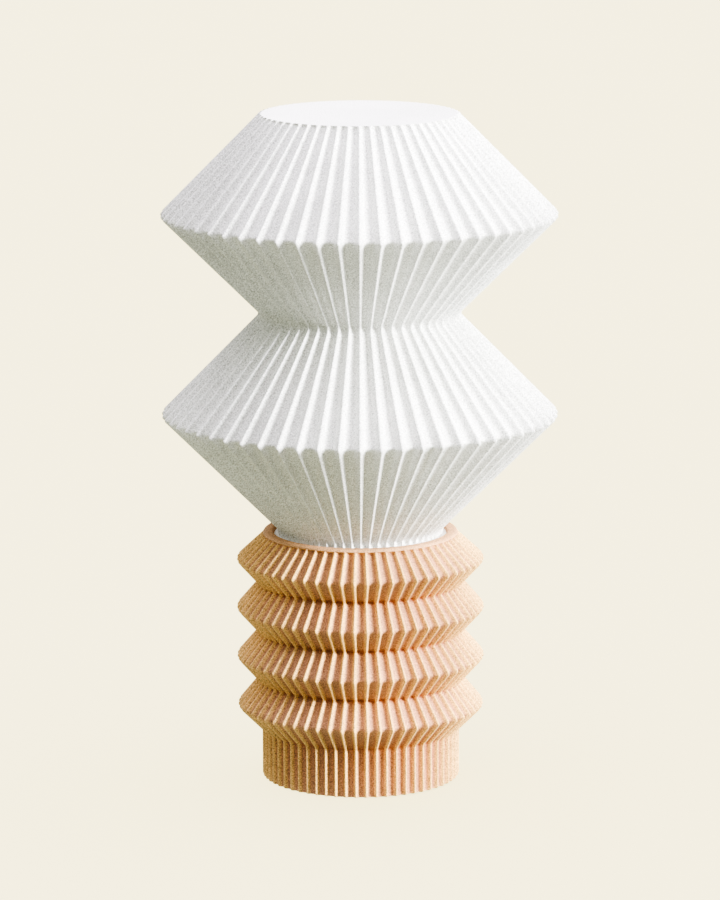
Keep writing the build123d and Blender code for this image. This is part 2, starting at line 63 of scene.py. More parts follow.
def finish_mesh(name, verts, faces, sharp=35.0):
    me = bpy.data.meshes.new(name)
    me.from_pydata([tuple(v) for v in np.asarray(verts, float) * MM], [], faces)
    me.validate()
    me.shade_smooth()
    if sharp:
        me.set_sharp_from_angle(angle=math.radians(sharp))
    ob = bpy.data.objects.new(name, me)
    bpy.context.scene.collection.objects.link(ob)
    return ob


def sheet_of_rings(rings, start_pole=None, end_pole=None, joined=False):
    """Vertices, faces and map places of a surface through rings of points with
    the same number each.  A pole closes an end with a fan; joined makes the
    last ring meet the first."""
    rings = [np.asarray(r, float) for r in rings]
    n, m = len(rings[0]), len(rings)
    verts = list(np.concatenate(rings))
    along = [0.0]
    for a, b in zip(rings, rings[1:]):
        along.append(along[-1] + float(np.median(np.linalg.norm(b - a, axis=1))))
    if joined:
        along.append(along[-1] + float(np.median(np.linalg.norm(rings[0] - rings[-1], axis=1))))
    lead = float(np.linalg.norm(rings[0][0] - start_pole)) if start_pole is not None else 0.0
    tail = float(np.linalg.norm(rings[-1][0] - end_pole)) if end_pole is not None else 0.0
    total = lead + along[-1] + tail
    v_of = [(lead + s) / total for s in along]
    faces, places = [], []
    last = m if joined else m - 1
    for k in range(last):
        lo, hi = k * n, ((k + 1) % m) * n
        for i in range(n):
            j = (i + 1) % n
            faces.append((lo + i, lo + j, hi + j, hi + i))
            places += [(i / n, v_of[k]), ((i + 1) / n, v_of[k]), ((i + 1) / n, v_of[k + 1]), (i / n, v_of[k + 1])]
    if start_pole is not None:
        p = len(verts)
        verts.append(np.asarray(start_pole, float))
        for i in range(n):
            faces.append((p, (i + 1) % n, i))
            places += [((i + 0.5) / n, 0.0), ((i + 1) / n, v_of[0]), (i / n, v_of[0])]
    if end_pole is not None:
        p = len(verts)
        verts.append(np.asarray(end_pole, float))
        lo = (m - 1) * n
        for i in range(n):
            faces.append((p, lo + i, lo + (i + 1) % n))
            places += [((i + 0.5) / n, 1.0), (i / n, v_of[m - 1]), ((i + 1) / n, v_of[m - 1])]
    return verts, faces, places


def put_map(ob, places):
    """Lays the piece out on its texture map, one face corner after another."""
    layer = ob.data.uv_layers.new(name="OFBake")
    layer.uv.foreach_set("vector", np.asarray(places, np.float32).ravel())


def outward(ob):
    """Turns a closed mesh's faces outward if its signed volume says that they aren't."""
    me = ob.data
    me.calc_loop_triangles()
    tri = np.empty(len(me.loop_triangles) * 3, np.int32)
    me.loop_triangles.foreach_get("vertices", tri)
    co = np.empty(len(me.vertices) * 3, np.float32)
    me.vertices.foreach_get("co", co)
    p = co.reshape(-1, 3).astype(float)[tri].reshape(-1, 3, 3)
    if np.einsum("ij,ij->i", p[:, 0], np.cross(p[:, 1], p[:, 2])).sum() < 0:
        me.flip_normals()
    return ob


def circle(r, z, n, wave=None):
    t = np.arange(n) * 2 * math.pi / n
    rr = np.full(n, float(r)) if wave is None else r + wave(t, z)
    return np.stack([rr * np.sin(t), -rr * np.cos(t), np.full(n, float(z))], 1)


def lathe(name, profile, n=96, sharp=35.0, wave=None, axis="Z", at=(0.0, 0.0, 0.0)):
    """Closed turned piece.  profile is (r, z) or (r, z, depth of the wave there);
    r = 0 at both ends closes on the axis, otherwise the last point joins the first."""
    poles = profile[0][0] == 0
    inner = profile[1:-1] if poles else profile
    rings = []
    for p in inner:
        r, z = p[0], p[1]
        if wave is not None and len(p) > 2 and p[2]:
            rings.append(circle(r, z, n, lambda t, zz, d=p[2]: d * wave(t, zz)))
        else:
            rings.append(circle(r, z, n))
    if poles:
        v, f, m = sheet_of_rings(rings, (0, 0, profile[0][1]), (0, 0, profile[-1][1]))
    else:
        v, f, m = sheet_of_rings(rings, joined=True)
    v = np.asarray(v)
    if axis == "Y":
        v = np.stack([v[:, 0], v[:, 2], v[:, 1]], 1)
    v = v + np.asarray(at)
    ob = finish_mesh(name, v, f, sharp)
    put_map(ob, m)
    return outward(ob)


def join(name, obs):
    """Several meshes as one piece."""
    verts, faces, places = [], [], []
    for o in obs:
        k = len(verts)
        verts += [tuple(v.co / MM) for v in o.data.vertices]
        faces += [tuple(k + i for i in p.vertices) for p in o.data.polygons]
    for o in obs:
        bpy.data.objects.remove(o)
    return finish_mesh(name, verts, faces)


def rounded(points, radius, steps=4):
    """A profile with its inner corners rounded: radius is one number or one per corner."""
    pts = [np.asarray(p, float) for p in points]
    out = [tuple(pts[0])]
    for i in range(1, len(pts) - 1):
        a, b, c = pts[i - 1], pts[i], pts[i + 1]
        r = radius if np.isscalar(radius) else radius[i - 1]
        u, w = a - b, c - b
        lu, lw = np.linalg.norm(u), np.linalg.norm(w)
        u, w = u / lu, w / lw
        turn = math.pi - math.acos(max(-1.0, min(1.0, float(u @ w))))
        if r <= 0 or turn < 0.02:
            out.append(tuple(b))
            continue
        reach = min(r * math.tan(turn / 2), 0.45 * lu, 0.45 * lw)
        rr = reach / math.tan(turn / 2)
        mid = (u + w) / np.linalg.norm(u + w)
        centre = b + mid * rr / math.cos(turn / 2)
        s, e = b + u * reach - centre, b + w * reach - centre
        for k in range(steps + 1):
            t = k / steps
            ang = t * turn
            # turn s towards e
            n = (math.sin(turn - ang) * s + math.sin(ang) * e) / math.sin(turn)
            out.append(tuple(centre + n))
    out.append(tuple(pts[-1]))
    return out


# ---------------------------------------------------------------------------
# pleats
# ---------------------------------------------------------------------------
PLEATS, DEPTH = 60, 0.052
EDGE, FOOT_OF_FLANK, EASE, SOFT = 0.072, 0.36, 2.1, 0.034
SIDE = [0.035, 0.07, 0.105, 0.15, 0.205, 0.27, 0.35]
ACROSS = np.array([0.0] + SIDE + [0.5] + [1.0 - s for s in reversed(SIDE)])


def pleat_shape():
    """How deep a point across the pleat lies: 0 on the narrow ridge, then a flank that
    starts steep and eases into the valley floor, 1."""
    taps = np.linspace(-3, 3, 41)
    weight = np.exp(-taps ** 2 / 2)
    weight /= weight.sum()

    def raw(u):
        u = np.abs((u + 0.5) % 1.0 - 0.5)
        t = np.clip((u - EDGE) / (FOOT_OF_FLANK - EDGE), 0.0, 1.0)
        return 1 - (1 - t) ** EASE

    fine = sum(w * raw(ACROSS + SOFT * k) for k, w in zip(taps, weight))
    return (fine - fine.min()) / (fine.max() - fine.min())


SHAPE = pleat_shape()
COLUMNS = PLEATS * len(ACROSS)
TURN = (np.repeat(np.arange(PLEATS), len(ACROSS)) + np.tile(ACROSS, PLEATS)) * 2 * math.pi / PLEATS
DEEP = np.tile(SHAPE, PLEATS)


def pleat_ring(r, z, amount, phase):
    """One level of a pleated wall; amount 0 is a plain circle, 1 the full pleat."""
    t = TURN + phase
    rr = r * (1 - DEPTH * amount * DEEP)
    return np.stack([rr * np.sin(t), -rr * np.cos(t), np.full(COLUMNS, float(z))], 1)


def arch(z0, z1, r0, r1, n=5):
    """Levels over which the pleats run out of a smooth rim, as a quarter circle."""
    out = []
    for k in range(n + 1):
        t = 1 - math.cos(math.pi / 2 * k / n)
        out.append((r0 + (r1 - r0) * t, z0 + (z1 - z0) * t, math.sin(math.pi / 2 * k / n)))
    return out


def walls(levels, phase):
    return [pleat_ring(r, z, a, phase) for r, z, a in levels]


def mark_folds(ob, fold):
    """Stores how deep in its pleat each point lies; smooth parts hold -1."""
    a = ob.data.attributes.new("fold", "FLOAT", "POINT")
    a.data.foreach_set("value", np.asarray(fold, np.float32))


# ---------------------------------------------------------------------------
# shade: one closed shell, outside then inside
# ---------------------------------------------------------------------------
out_line = rounded([(50.8, 157.2), (121.7, 228.3), (60.5, 290.6), (121.5, 351.3), (61.5, 412.0)],
                   [1.5, 3.6, 1.5], 5)
shade_levels = [(47.5, 146.1, 0), (47.9, 145.5, 0), (50.9, 145.5, 0), (51.5, 146.1, 0), (51.5, 152.9, 0),
                (51.6, 153.0, 0), (52.5, 153.0, 0), (52.8, 153.08, 0), (52.9, 153.2, 0), (52.7, 153.42, 0),
                (52.0, 153.55, 0), (51.2, 153.62, 0)]
slope = (121.7 - 50.8) / (228.3 - 157.2)
shade_levels += arch(153.8, 155.4, 50.9, 50.8, 5)
shade_levels += [(50.85, 157.2, 1), (50.8 + slope * 1.2, 158.4, 1)]
shade_levels += [(r, z, 1) for r, z in out_line[1:-1]]
fall = (121.5 - 61.5) / (412.0 - 351.3)
# the ridges end in the disc's edge as small rounded tips
shade_levels += [(61.5 + fall * 0.9, 411.1, 1), (61.8, 411.7, 0.97), (61.5, 412.1, 0.88), (61.3, 412.4, 0.74),
                 (61.0, 412.6, 0.56), (60.6, 412.74, 0.36), (60.1, 412.8, 0.18), (59.3, 412.8, 0),
                 (40.0, 412.8, 0), (20.0, 412.8, 0), (6.0, 412.8, 0)]
inner = [(6.0, 410.0, 0), (40.0, 410.0, 0), (56.0, 410.0, 0)]
in_line = rounded([(59.8, 410.0), (118.6, 351.3), (57.6, 290.6), (118.6, 228.3), (49.0, 157.6)],
                  [1.0, 1.0, 1.0], 2)
inner += [(r, z, 1) for r, z in in_line[:-1]]
inner += [(49.2, 158.4, 0.9), (48.4, 157.8, 0.5), (47.7, 157.2, 0.1), (47.5, 156.8, 0), (47.5, 152.0, 0)]

outer_rings = walls(shade_levels, 0.0)
inner_rings = walls(inner, 0.0)
rings = list(reversed(outer_rings))
# pole on top, down the outside, round the neck, up the inside to the second pole
path = rings + list(reversed(inner_rings))
v, f, m = sheet_of_rings(path, (0, 0, 412.8), (0, 0, 410.0))
fold = np.concatenate([(DEEP * a if a > 0.03 else np.full(COLUMNS, -1.0))
                       for a in [lv[2] for lv in reversed(shade_levels)] + [lv[2] for lv in reversed(inner)]]
                      + [np.array([-1.0, -1.0])])
shade = finish_mesh("pleated_shade", v, f, sharp=60.0)
put_map(shade, m)
mark_folds(shade, fold)
outward(shade)

# ---------------------------------------------------------------------------
# base: one closed ring of wall, then the pad, lugs and cut-outs
# ---------------------------------------------------------------------------
HALF = math.pi / PLEATS
base_ridge = [(60.9, 0.8), (60.9, 30.9), (76.2, 46.2), (63.2, 61.9), (76.6, 76.9), (63.2, 92.5),
              (76.6, 107.5), (63.2, 123.1), (76.6, 137.9), (59.9, 153.4)]
base_line = rounded(base_ridge, [2.6, 1.7, 0.6, 1.7, 0.6, 1.7, 0.6, 1.7], 4)
# levels close above and below each fold, where its painted crease shade fades in and out
for fold_z in (61.8, 92.4, 123.0):
    spots = [z for r, z in base_line]
    for z in (fold_z - 2.2, fold_z - 1.2, fold_z + 1.2, fold_z + 2.2):
        if min(abs(z - q) for q in spots) > 0.25:
            base_line.append((float(np.interp(z, [q[1] for q in base_ridge], [q[0] for q in base_ridge])), z))
base_line.sort(key=lambda q: q[1])
base_levels = [(58.9, 0.8, 0.30), (59.5, 0.85, 0.40), (60.1, 1.05, 0.60), (60.6, 1.5, 0.80), (60.8, 2.1, 0.95), (60.9, 2.8, 1)]
base_levels += [(r, z, 1) for r, z in base_line[1:-1]]
lean = (76.6 - 59.9) / (153.4 - 137.9)
base_levels += [(r, z, a) for r, z, a in reversed(arch(153.95, 152.3, 59.85, 59.9 + lean * 1.1, 5))]
base_levels += [(59.8, 154.1, 0), (59.6, 154.5, 0), (59.3, 154.9, 0), (58.8, 155.25, 0), (58.2, 155.45, 0),
                (57.6, 155.5, 0), (54.7, 155.5, 0), (54.2, 155.4, 0), (53.85, 155.1, 0), (53.75, 154.7, 0),
                (53.75, 153.0, 0), (52.3, 153.0, 0), (52.0, 152.7, 0), (52.0, 143.5, 0), (30.0, 143.5, 0),
                (5.3, 143.5, 0), (5.03, 143.2, 0), (5.03, 139.5, 0), (30.0, 139.5, 0), (54.4, 139.5, 0),
                (54.4, 148.9, 0), (57.9, 148.9, 0), (67.7, 137.8, 0), (57.9, 123.0, 0), (67.7, 107.2, 0),
                (57.9, 92.4, 0), (67.7, 76.6, 0), (57.9, 61.8, 0), (67.7, 46.0, 0), (55.1, 31.8, 0),
                (55.1, 1.2, 0), (55.5, 0.8, 0)]
v, f, m = sheet_of_rings(walls(base_levels, HALF), joined=True)
base = finish_mesh("pleated_base", v, f, sharp=0)
put_map(base, m)
outward(base)


def prism(name, outline, y0, y1, centre=(0.0, 0.0), axis="Y", bevel=0.0):
    """Closed straight prism of an outline of (x, z), from y0 to y1."""
    o = np.asarray(outline, float) + np.asarray(centre)
    n = len(o)
    a = np.stack([o[:, 0], np.full(n, y0), o[:, 1]], 1)
    b = np.stack([o[:, 0], np.full(n, y1), o[:, 1]], 1)
    if axis == "Z":
        a = np.stack([o[:, 0], o[:, 1], np.full(n, y0)], 1)
        b = np.stack([o[:, 0], o[:, 1], np.full(n, y1)], 1)
    faces = [tuple(range(n)), tuple(range(2 * n - 1, n - 1, -1))]
    faces += [(i, n + i, n + (i + 1) % n, (i + 1) % n) for i in range(n)]
    ob = finish_mesh(name, np.concatenate([a, b]), faces, 35.0)
    return outward(ob)


def rounded_rect(w, h, r, steps=8):
    pts = []
    for cx, cy, a0 in ((w / 2 - r, h / 2 - r, 0), (-w / 2 + r, h / 2 - r, 90), (-w / 2 + r, -h / 2 + r, 180),
                       (w / 2 - r, -h / 2 + r, 270)):
        for k in range(steps + 1):
            a = math.radians(a0 + 90 * k / steps)
            pts.append((cx + r * math.cos(a), cy + r * math.sin(a)))
    return pts


def disc_outline(r, n=64):
    return [(r * math.cos(2 * math.pi * k / n), r * math.sin(2 * math.pi * k / n)) for k in range(n)]


def cutters_as_one(name, obs):
    verts, faces = [], []
    for o in obs:
        k = len(verts)
        verts += [tuple(v.co / MM) for v in o.data.vertices]
        faces += [tuple(k + i for i in p.vertices) for p in o.data.polygons]
        bpy.data.objects.remove(o)
    one = finish_mesh(name, verts, faces, 35.0)
    lay_in_corner(one)
    return one


def lay_in_corner(ob):
    """Faces that a cutter leaves behind are mapped in a strip that the walls don't use."""
    me = ob.data
    co = np.array([v.co for v in me.vertices])
    idx = np.empty(len(me.loops), np.int32)
    me.loops.foreach_get("vertex_index", idx)
    p = co[idx] / MM
    u = (p[:, 0] * 0.9 + p[:, 1] * 0.43 + 120) / 240
    w = (p[:, 2] * 0.9 + p[:, 1] * 0.31 + 40) / 260
    layer = me.uv_layers.new(name="OFBake")
    layer.uv.foreach_set("vector", np.stack([u, 0.90 + 0.09 * w], 1).astype(np.float32).ravel())


def boolean(ob, other, operation):
    mod = ob.modifiers.new("cut", "BOOLEAN")
    mod.operation = operation
    mod.solver = "MANIFOLD"
    mod.object = other
    bpy.context.view_layer.update()
    dg = bpy.context.evaluated_depsgraph_get()
    made = bpy.data.meshes.new_from_object(ob.evaluated_get(dg), preserve_all_data_layers=True, depsgraph=dg)
    ob.modifiers.clear()
    ob.data = made
    bpy.data.objects.remove(other)


# the walls keep the lower nine tenths of the map
layer = base.data.uv_layers["OFBake"]
uv = np.empty(len(base.data.loops) * 2, np.float32)
layer.uv.foreach_get("vector", uv)
uv = uv.reshape(-1, 2)
uv[:, 1] *= 0.88
layer.uv.foreach_set("vector", uv.ravel())

PAD_FACE, PORT_Z, INLET_X, SWITCH_X = 58.0, 16.5, -10.5, 12.0
pad = prism("pad", rounded_rect(47, 22, 2.5), 50.0, PAD_FACE, (0, 16.5))
lay_in_corner(pad)
boolean(base, pad, "UNION")
lugs = []
for k in range(4):
    a = math.radians(45 + 90 * k)
    c, s = math.cos(a), math.sin(a)
    corner = [(38.2, -6), (56, -6), (56, 6), (38.2, 6)]
    lugs.append(prism("lug", [(x * c - y * s, x * s + y * c) for x, y in corner], 12.5, 28.0, axis="Z"))
boolean(base, cutters_as_one("lugs", lugs), "UNION")
front = prism("front", rounded_rect(47, 22, 2.5), PAD_FACE, 64.0, (0, 16.5))
lay_in_corner(front)
holes = [front]
for k in range(4):
    a = math.radians(45 + 90 * k)
    holes.append(prism("hole", disc_outline(2.05, 32), 10.0, 23.5, (44 * math.cos(a), 44 * math.sin(a)), axis="Z"))
boolean(base, cutters_as_one("holes", holes), "DIFFERENCE")
pocket = prism("pocket", rounded_rect(43, 18, 0.4, 2), 48.0, 55.0, (0, PORT_Z))
lay_in_corner(pocket)
boolean(base, pocket, "DIFFERENCE")
ports = [prism("port", rounded_rect(20.6, 12.4, 1.6), 54.0, 60.0, (INLET_X, PORT_Z)),
         prism("port", disc_outline(5.88), 54.0, 60.0, (SWITCH_X, PORT_Z))]
boolean(base, cutters_as_one("ports", ports), "DIFFERENCE")
base.data.shade_smooth()
base.data.set_sharp_from_angle(angle=math.radians(55))

# how deep each point lies in its pleat, from its place
co = np.empty(len(base.data.vertices) * 3, np.float32)
base.data.vertices.foreach_get("co", co)
co = co.reshape(-1, 3).astype(float) / MM
radius = np.hypot(co[:, 0], co[:, 1])
ridge_z = [z for r, z in base_ridge]
ridge_r = [r for r, z in base_ridge]
ridge = np.interp(co[:, 2], ridge_z, ridge_r)
deep = (1 - radius / ridge) / DEPTH
on_pad = (np.abs(co[:, 0]) < 23.6) & (co[:, 1] > 40) & (co[:, 2] > 5.4) & (co[:, 2] < 27.6)
off_skin = (deep > 1.25) | (co[:, 2] > 153.2) | (on_pad & (co[:, 1] < 58.05))
mark_folds(base, np.where(off_skin, -1.0, np.clip(deep, 0.0, 1.0)))
# painted shade: the folds between the tiers are darker deep in the pleats, where shade falls
waist_z = np.array([30.9, 61.8, 92.4, 123.0])
near = np.abs(co[:, 2][:, None] - waist_z[None]).min(1)
crease_shade_amount = np.clip((1.9 - near) / 1.5, 0.0, 1.0) * np.clip((deep - 0.35) / 0.4, 0.0, 1.0)
layer = base.data.attributes.new("painted_crease_shade", "FLOAT", "POINT")
layer.data.foreach_set("value", np.where(off_skin, 0.0, 0.85 * crease_shade_amount).astype(np.float32))

print("shade faces", len(shade.data.polygons), "base faces", len(base.data.polygons))

# ---------------------------------------------------------------------------
# materials
# ---------------------------------------------------------------------------


class Nodes:
    def __init__(self, name):
        self.material = bpy.data.materials.new(name)
        self.material.use_nodes = True
        self.tree = self.material.node_tree
        self.shader = self.tree.nodes["Principled BSDF"]
        self.place = None

    def add(self, kind, **values):
        n = self.tree.nodes.new(kind)
        for k, value in values.items():
            setattr(n, k, value)
        return n

    def link(self, a, b):
        self.tree.links.new(a, b)

    def where(self):
        if self.place is None:
            self.place = self.add("ShaderNodeTexCoord").outputs["Object"]
        return self.place

    def noise(self, scale, detail=2.0, rough=0.5, stretch=None):
        n = self.add("ShaderNodeTexNoise")
        n.inputs["Scale"].default_value = scale
        n.inputs["Detail"].default_value = detail
        n.inputs["Roughness"].default_value = rough
        if stretch:
            mp = self.add("ShaderNodeMapping")
            mp.inputs["Scale"].default_value = stretch
            self.link(self.where(), mp.inputs["Vector"])
            self.link(mp.outputs["Vector"], n.inputs["Vector"])
        else:
            self.link(self.where(), n.inputs["Vector"])
        return n.outputs["Fac"]

    def span(self, value, low, high, to_low, to_high, smooth=False):
        n = self.add("ShaderNodeMapRange")
        n.interpolation_type = "SMOOTHSTEP" if smooth else "LINEAR"
        n.inputs["From Min"].default_value = low
        n.inputs["From Max"].default_value = high
        n.inputs["To Min"].default_value = to_low
        n.inputs["To Max"].default_value = to_high
        self.link(value, n.inputs["Value"])
        return n.outputs["Result"]

    def bump(self, height, strength, distance):
        n = self.add("ShaderNodeBump")
        n.inputs["Strength"].default_value = strength
        n.inputs["Distance"].default_value = distance
        self.link(height, n.inputs["Height"])
        self.link(n.outputs["Normal"], self.shader.inputs["Normal"])


def colour_mix(nodes, amount, a, b, blend="MIX"):
    """Colour mix by socket position, because the mix node repeats its socket names."""
    n = nodes.add("ShaderNodeMix", data_type="RGBA", blend_type=blend)
    sockets = [s for s in n.inputs if s.enabled]
    for socket, value in zip(sockets, (amount, a, b)):
        if isinstance(value, (int, float)):
            socket.default_value = value
        elif isinstance(value, tuple):
            socket.default_value = (*value, 1.0)
        else:
            nodes.link(value, socket)
    return [s for s in n.outputs if s.enabled][0]


def shell_material(name, ridge, valley, smooth, grain, rough, fleck, scale, painted_crease_shade=None):
    """Fine-grained matt skin whose colour paints light and shade into the pleats by their depth: the ridge colour
    along the ridges, the valley colour deep in them, and a crease colour as painted shade in the folds between tiers.
    On the base the ridges are lighter and the valleys deeper coloured.
    """
    k = Nodes(name)
    fold = k.add("ShaderNodeAttribute", attribute_name="fold").outputs["Fac"]
    depth = k.span(fold, 0.35, 0.95, 0.0, 1.0, smooth=True)
    # painted light and shade: ridge colour on the ridges, valley colour deep in the pleats
    skin = colour_mix(k, depth, ridge, valley)
    # painted shade in the creases between the tiers
    if painted_crease_shade:
        crease_shade_amount = k.add("ShaderNodeAttribute", attribute_name="painted_crease_shade").outputs["Fac"]
        skin = colour_mix(k, crease_shade_amount, skin, painted_crease_shade)
    flat = k.span(fold, -0.5, -0.05, 1.0, 0.0)
    skin = colour_mix(k, flat, skin, smooth)
    fine = k.noise(scale, 1.0, 0.6)
    cloud = k.noise(14.0, 3.0, 0.55)
    g = k.span(fine, 0.25, 0.75, 1 - grain, 1 + grain)
    c = k.span(cloud, 0.3, 0.7, 1 - 0.25 * grain, 1 + 0.25 * grain)
    mul = k.add("ShaderNodeMath", operation="MULTIPLY")
    k.link(g, mul.inputs[0])
    k.link(c, mul.inputs[1])
    shade_by = k.add("ShaderNodeVectorMath", operation="SCALE")
    k.link(skin, shade_by.inputs[0])
    k.link(mul.outputs[0], shade_by.inputs["Scale"])
    most = k.add("ShaderNodeVectorMath", operation="MINIMUM")
    k.link(shade_by.outputs["Vector"], most.inputs[0])
    most.inputs[1].default_value = (0.97, 0.97, 0.97)
    k.link(most.outputs["Vector"], k.shader.inputs["Base Color"])
    k.link(k.span(fine, 0.3, 0.7, rough - 0.06, rough + 0.08), k.shader.inputs["Roughness"])
    k.bump(fine, fleck, 0.0004)
    k.shader.inputs["Specular IOR Level"].default_value = 0.35
    return k.material


def plain_material(name, colour, rough, vary=0.06, scale=700.0, bump=0.15, metallic=0.0, stretch=None, spread=0.08,
                   specular=0.5):
    """Moulded or turned surface with fine variation in tone, gloss and relief."""
    k = Nodes(name)
    fine = k.noise(scale, 3.0, 0.6, stretch)
    wide = k.noise(45.0, 2.0, 0.5)
    dark = tuple(c * (1 - vary) for c in colour)
    light = tuple(min(1.0, c * (1 + vary)) for c in colour)
    tone = colour_mix(k, k.span(fine, 0.3, 0.7, 0.0, 1.0), dark, light)
    tone = colour_mix(k, k.span(wide, 0.35, 0.65, 0.0, 0.5), tone, colour)
    k.link(tone, k.shader.inputs["Base Color"])
    k.link(k.span(fine, 0.3, 0.7, max(0.02, rough - spread), rough + spread), k.shader.inputs["Roughness"])
    k.bump(fine, bump, 0.0002)
    k.shader.inputs["Metallic"].default_value = metallic
    k.shader.inputs["Specular IOR Level"].default_value = specular
    return k.material


# painted shade on the shade's skin: its ridges are a little darker than its valleys, which tones down the highlight
# on the lit ridge strips
shade_mat = shell_material("shade_paper_white", (0.735, 0.74, 0.735), (0.77, 0.775, 0.765), (0.90, 0.90, 0.89),
                           0.46, 0.72, 0.40, 1250.0)
# painted light and shade on the base: pale ridges stand for the lit strips, darker deeper-coloured valleys for the
# shade in the pleats; the last colour is the painted shade in the waist creases
base_mat = shell_material("base_terracotta_skin", (0.715, 0.452, 0.188), (0.455, 0.24, 0.142), (0.54, 0.31, 0.165),
                          0.55, 0.70, 0.30, 1250.0, (0.29, 0.10, 0.05))
black_plastic = plain_material("black_moulded_plastic", (0.022, 0.022, 0.024), 0.42, 0.25, 1500.0, 0.25)
rubber = plain_material("black_rubber_feet", (0.018, 0.018, 0.018), 0.78, 0.3, 900.0, 0.3, specular=0.25)
powder = plain_material("black_powder_coat", (0.03, 0.03, 0.032), 0.5, 0.25, 1100.0, 0.5)
zinc = plain_material("zinc_plated_steel", (0.60, 0.60, 0.62), 0.34, 0.10, 500.0, 0.10, 1.0, (1, 1, 6))
brass = plain_material("lacquered_brass", (0.74, 0.55, 0.24), 0.28, 0.10, 600.0, 0.08, 1.0, (1, 1, 5))
nickel = plain_material("rolled_cap_metal", (0.78, 0.78, 0.77), 0.26, 0.06, 800.0, 0.10, 1.0, (1, 1, 8))
holder_white = plain_material("holder_thermoplastic", (0.80, 0.79, 0.75), 0.45, 0.03, 900.0, 0.10)
porcelain = plain_material("holder_porcelain", (0.82, 0.80, 0.76), 0.6, 0.04, 600.0, 0.15)
bulb_white = plain_material("bulb_housing_plastic", (0.83, 0.83, 0.81), 0.36, 0.02, 900.0, 0.05)
cap_glass = plain_material("cap_black_glass", (0.012, 0.012, 0.014), 0.12, 0.2, 300.0, 0.03)
board = plain_material("board_solder_mask", (0.80, 0.81, 0.79), 0.35, 0.04, 700.0, 0.06)
lead_brown = plain_material("lead_insulation_brown", (0.16, 0.07, 0.03), 0.4, 0.15, 900.0, 0.1)
lead_blue = plain_material("lead_insulation_blue", (0.03, 0.09, 0.30), 0.4, 0.15, 900.0, 0.1)

opal = plain_material("bulb_opal_dome", (0.90, 0.89, 0.86), 0.32, 0.015, 500.0, 0.03)
opal_shader = opal.node_tree.nodes["Principled BSDF"]
opal_shader.inputs["Subsurface Weight"].default_value = 0.25
opal_shader.inputs["Subsurface Radius"].default_value = (0.004, 0.004, 0.0035)
opal_shader.inputs["Coat Weight"].default_value = 0.15


def wear(ob, material, slot, body, *nodes):
    ob.data.materials.clear()
    ob.data.materials.append(material)
    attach(ob, body)
    if nodes:
        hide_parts(*nodes)
    return ob


wear(shade, shade_mat, "shade_white", "shade", "shade_neck_ring", "shade_lower", "shade_upper")
wear(base, base_mat, "base_terracotta", "root", "base_foot", "connector_plate", "base_tier_1", "base_tier_2",
     "base_tier_3", "base_tier_4", "base_well")

# ---------------------------------------------------------------------------
# foot: rubber feet
# ---------------------------------------------------------------------------
feet = []
for x, y in ((42, 0), (0, 42), (-42, 0), (0, -42)):
    line = [(0, 0.35), (3.0, 0.35), (3.4, 0.3), (4.0, 0.02), (4.4, 0.0), (6.9, 0.0), (7.5, 0.2), (7.85, 0.6),
            (8.0, 1.1), (8.0, 2.5), (0, 2.5)]
    feet.append(lathe("foot", line, 64, at=(x, y, 0)))
feet = join("rubber_feet_ringed", feet)
wear(feet, rubber, "black_rubber", "root", "rubber_feet")

# ---------------------------------------------------------------------------
# rear pad: inlet and switch
# ---------------------------------------------------------------------------


def by_angle(n, distance):
    t = np.arange(n) * 2 * math.pi / n
    return [distance(math.cos(a), math.sin(a)) for a in t], t


def box_reach(w, h, r):
    def reach(c, s):
        lo, hi = 0.0, w + h
        for _ in range(40):
            mid = (lo + hi) / 2
            x, y = abs(mid * c), abs(mid * s)
            dx, dy = x - (w / 2 - r), y - (h / 2 - r)
            inside = (dx <= 0 and y <= h / 2) or (dy <= 0 and x <= w / 2) or (dx > 0 and dy > 0 and math.hypot(dx, dy) <= r)
            lo, hi = (mid, hi) if inside else (lo, mid)
        return lo
    return reach


def eight_reach(off, r, waist, grow=0.0):
    def reach(c, s):
        lo, hi = 0.0, 40.0
        for _ in range(40):
            mid = (lo + hi) / 2
            x, y = abs(mid * c), abs(mid * s)
            inside = math.hypot(x - off, y) <= r + grow or (x <= off and y <= waist + grow)
            lo, hi = (mid, hi) if inside else (lo, mid)
        return lo
    return reach


def loop_at(reach, y, n=192, inset=0.0):
    d, t = by_angle(n, reach)
    d = np.asarray(d) - inset
    return np.stack([d * np.cos(t) + INLET_X, np.full(n, float(y)), d * np.sin(t) + PORT_Z], 1)


flange = box_reach(24.0, 14.4, 2.5)
body = box_reach(20.4, 12.2, 1.5)
eight = eight_reach(3.9, 4.4, 3.2)
inlet_rings = [loop_at(eight, 47.0, inset=1.6), loop_at(eight, 47.0, inset=0.1), loop_at(eight, 47.1),
               loop_at(eight, 59.0), loop_at(eight, 59.3, inset=-0.12), loop_at(eight, 59.5, inset=-0.45),
               loop_at(flange, 59.5, inset=0.6), loop_at(flange, 59.38, inset=0.2), loop_at(flange, 59.1),
               loop_at(flange, 58.0), loop_at(body, 58.0), loop_at(body, 41.3), loop_at(body, 41.0, inset=0.3)]
v, f, m = sheet_of_rings(inlet_rings, (INLET_X, 47.0, PORT_Z), (INLET_X, 41.0, PORT_Z))
inlet = finish_mesh("figure_eight_inlet", v, f, 40.0)
put_map(inlet, m)
outward(inlet)
wear(inlet, black_plastic, "black_plastic", "root", "power_inlet")

